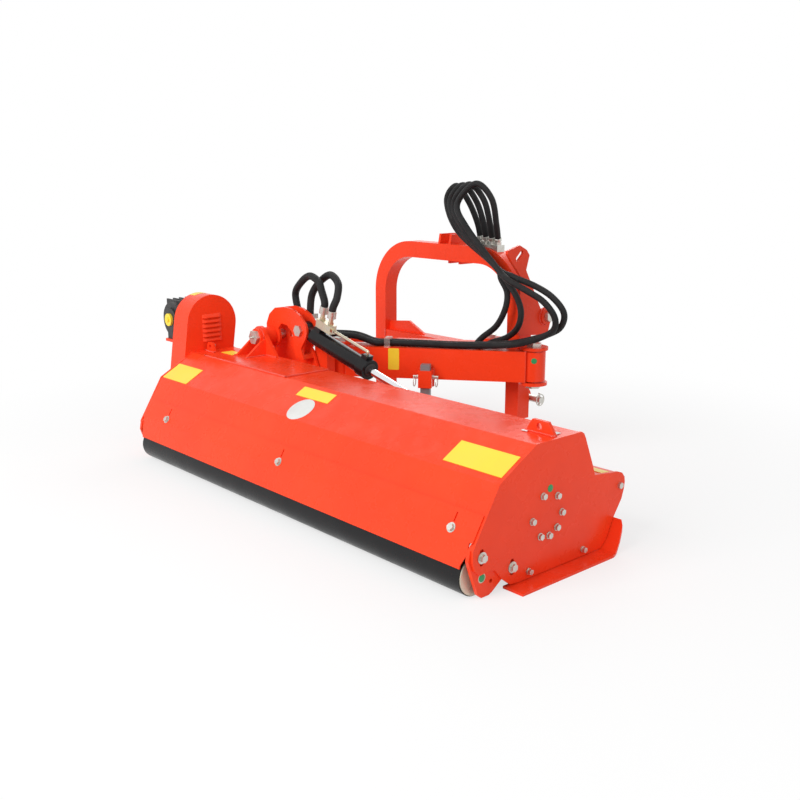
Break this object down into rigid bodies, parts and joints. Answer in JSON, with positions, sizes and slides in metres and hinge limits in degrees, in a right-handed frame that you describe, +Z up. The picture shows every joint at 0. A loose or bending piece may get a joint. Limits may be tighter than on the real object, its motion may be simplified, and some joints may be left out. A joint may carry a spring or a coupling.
{
  "type": "offset flail mower",
  "caption": "Tractor-mounted offset flail mower: hooded hammer rotor with belt drive and rear roller, carried by a hydraulic swing arm and tilt cylinder on an arched three-point headstock.",
  "frame": {"origin": "middle of the footprint on the ground", "axes": "+X along the rotor to the free end, +Y forward to the tractor, +Z up"},
  "size_m": [2.228, 1.3698, 1.1183],
  "materials": {
    "paint": "gloss",
    "dark_paint": "gloss",
    "zinc": "satin",
    "steel": "satin",
    "cast": "matte",
    "black_paint": "gloss",
    "chrome": "polished",
    "grey_paint": "satin",
    "yellow": "gloss",
    "hose": "matte",
    "belt": "matte",
    "brass": "satin",
    "cream": "satin",
    "red_plastic": "matte",
    "guard": "matte"
  },
  "bodies": {
    "headstock": {"arch": "paint", "base_tube": "paint", "head_lugs": "paint", "head_pins": "zinc", "hitch_plates": "paint", "lower_pins": "zinc", "side_ear": "dark_paint", "couplers": "zinc", "hose_tie": "red_plastic", "hose_tilt_a": "hose", "hose_tilt_b": "hose", "hose_swing_a": "hose", "hose_swing_b": "hose"},
    "arm": {"arm": "paint", "arm_fittings": "zinc", "stand_sleeve": "paint", "hose_arm_a": "hose", "hose_arm_b": "hose"},
    "leg": {"parking_leg": "grey_paint"},
    "link": {"parallel_link": "paint"},
    "carrier": {"hump_plates": "paint", "carrier": "paint", "carrier_pins": "zinc", "hose_clip": "zinc", "hose_loop_a": "hose", "hose_loop_b": "hose"},
    "tilt_barrel": {"tilt_barrel": "black_paint", "tilt_valve": "brass"},
    "tilt_rod": {"tilt_rod": "chrome"},
    "swing_barrel": {"swing_barrel": "black_paint"},
    "swing_rod": {"swing_rod": "chrome"},
    "deck": {"hood": "paint", "side_plate_right": "paint", "side_plate_left": "paint", "rear_flap": "paint", "skids": "paint", "deck_bolts": "zinc", "roller_brackets": "paint", "bearing_housings": "cast", "guard_rod": "zinc", "decal_plates": "yellow", "drive_belts": "belt", "gearbox": "cast", "gearbox_cap": "yellow", "belt_cover": "paint", "tilt_bracket": "paint", "deck_pins": "zinc"},
    "rotor": {"rotor": "black_paint", "flail_pins": "zinc", "rotor_pulley": "cast"},
    "flails_a": {"flail_row_a": "steel"},
    "flails_b": {"flail_row_b": "steel"},
    "flails_c": {"flail_row_c": "steel"},
    "flails_d": {"flail_row_d": "steel"},
    "drive": {"drive_pulley": "cast"},
    "pto": {"pto_shaft": "zinc"},
    "roller": {"roller": "black_paint", "roller_ends": "cream"},
    "guards": {"front_guards": "guard"}
  },
  "joints": [
    {"name": "arm_swing", "type": "hinge", "parent": "headstock", "child": "arm", "pos_m": [0.268, 0.4905, 0.398], "axis": [0, 0, 1], "range_deg": [0, 50], "deforming": ["hose_tilt_a", "hose_tilt_b", "hose_swing_a", "hose_swing_b"]},
    {"name": "link_swing", "type": "hinge", "parent": "headstock", "child": "link", "pos_m": [-0.002, 0.5305, 0.446], "axis": [0, 0, 1], "range_deg": [-0.5, 50.5]},
    {"name": "carrier_yaw", "type": "hinge", "parent": "arm", "child": "carrier", "pos_m": [-0.356, 0.0015, 0.398], "axis": [0, 0, 1], "range_deg": [-50.5, 0.5], "deforming": ["hose_arm_a", "hose_arm_b"]},
    {"name": "swing_pivot", "type": "hinge", "parent": "headstock", "child": "swing_barrel", "pos_m": [0.103, 0.4765, 0.385], "axis": [0, 0, 1], "range_deg": [-0.5, 58.79]},
    {"name": "swing_slide", "type": "slide", "parent": "swing_barrel", "child": "swing_rod", "axis": [-0.8043, -0.5942, 0], "range_m": [-0.0006, 0.1178]},
    {"name": "leg_slide", "type": "slide", "parent": "arm", "child": "leg", "axis": [0, 0, 1], "range_m": [0, 0.28]},
    {"name": "deck_tilt", "type": "hinge", "parent": "carrier", "child": "deck", "pos_m": [-0.601, -0.1735, 0.486], "axis": [0, -1, 0], "range_deg": [-30, 10]},
    {"name": "tilt_pivot", "type": "hinge", "parent": "carrier", "child": "tilt_barrel", "pos_m": [-0.416, -0.1325, 0.526], "axis": [0, -1, 0], "range_deg": [-35.91, 12.3], "deforming": ["hose_loop_a", "hose_loop_b"]},
    {"name": "tilt_slide", "type": "slide", "parent": "tilt_barrel", "child": "tilt_rod", "axis": [0.9682, 0, -0.2501], "range_m": [-0.0207, 0.0609]},
    {"name": "rotor_spin", "type": "hinge", "parent": "deck", "child": "rotor", "pos_m": [0.104, -0.3575, 0.186], "axis": [1, 0, 0], "continuous": true},
    {"name": "pulley_spin", "type": "hinge", "parent": "deck", "child": "drive", "pos_m": [-0.896, -0.3075, 0.525], "axis": [1, 0, 0], "continuous": true},
    {"name": "pto_spin", "type": "hinge", "parent": "deck", "child": "pto", "pos_m": [-1.036, -0.3075, 0.525], "axis": [0, 1, 0], "continuous": true},
    {"name": "roller_spin", "type": "hinge", "parent": "deck", "child": "roller", "pos_m": [0.104, -0.6195, 0.062], "axis": [1, 0, 0], "continuous": true},
    {"name": "guard_swing", "type": "hinge", "parent": "deck", "child": "guards", "pos_m": [0.104, -0.0065, 0.199], "axis": [1, 0, 0], "range_deg": [-60, 6]},
    {"name": "flail_swing_a", "type": "hinge", "parent": "rotor", "child": "flails_a", "pos_m": [0.104, -0.42821, 0.25671], "axis": [1, 0, 0], "range_deg": [-70, 70]},
    {"name": "flail_swing_b", "type": "hinge", "parent": "rotor", "child": "flails_b", "pos_m": [0.104, -0.42821, 0.11529], "axis": [1, 0, 0], "range_deg": [-70, 70]},
    {"name": "flail_swing_c", "type": "hinge", "parent": "rotor", "child": "flails_c", "pos_m": [0.104, -0.28679, 0.11529], "axis": [1, 0, 0], "range_deg": [-70, 70]},
    {"name": "flail_swing_d", "type": "hinge", "parent": "rotor", "child": "flails_d", "pos_m": [0.104, -0.28679, 0.25671], "axis": [1, 0, 0], "range_deg": [-70, 70]}
  ],
  "couplings": [
    {"joint": "link_swing", "follows": "arm_swing", "ratio": 1},
    {"joint": "carrier_yaw", "follows": "arm_swing", "ratio": -1},
    {"joint": "swing_pivot", "follows": "arm_swing", "ratio": 1.1659},
    {"joint": "swing_slide", "follows": "arm_swing", "m_per_rad": 0.13435},
    {"joint": "tilt_pivot", "follows": "deck_tilt", "ratio": 1.1804},
    {"joint": "tilt_slide", "follows": "deck_tilt", "m_per_rad": -0.11524},
    {"joint": "pulley_spin", "follows": "rotor_spin", "ratio": 0.86364},
    {"joint": "pto_spin", "follows": "rotor_spin", "ratio": 0.28788}
  ]
}
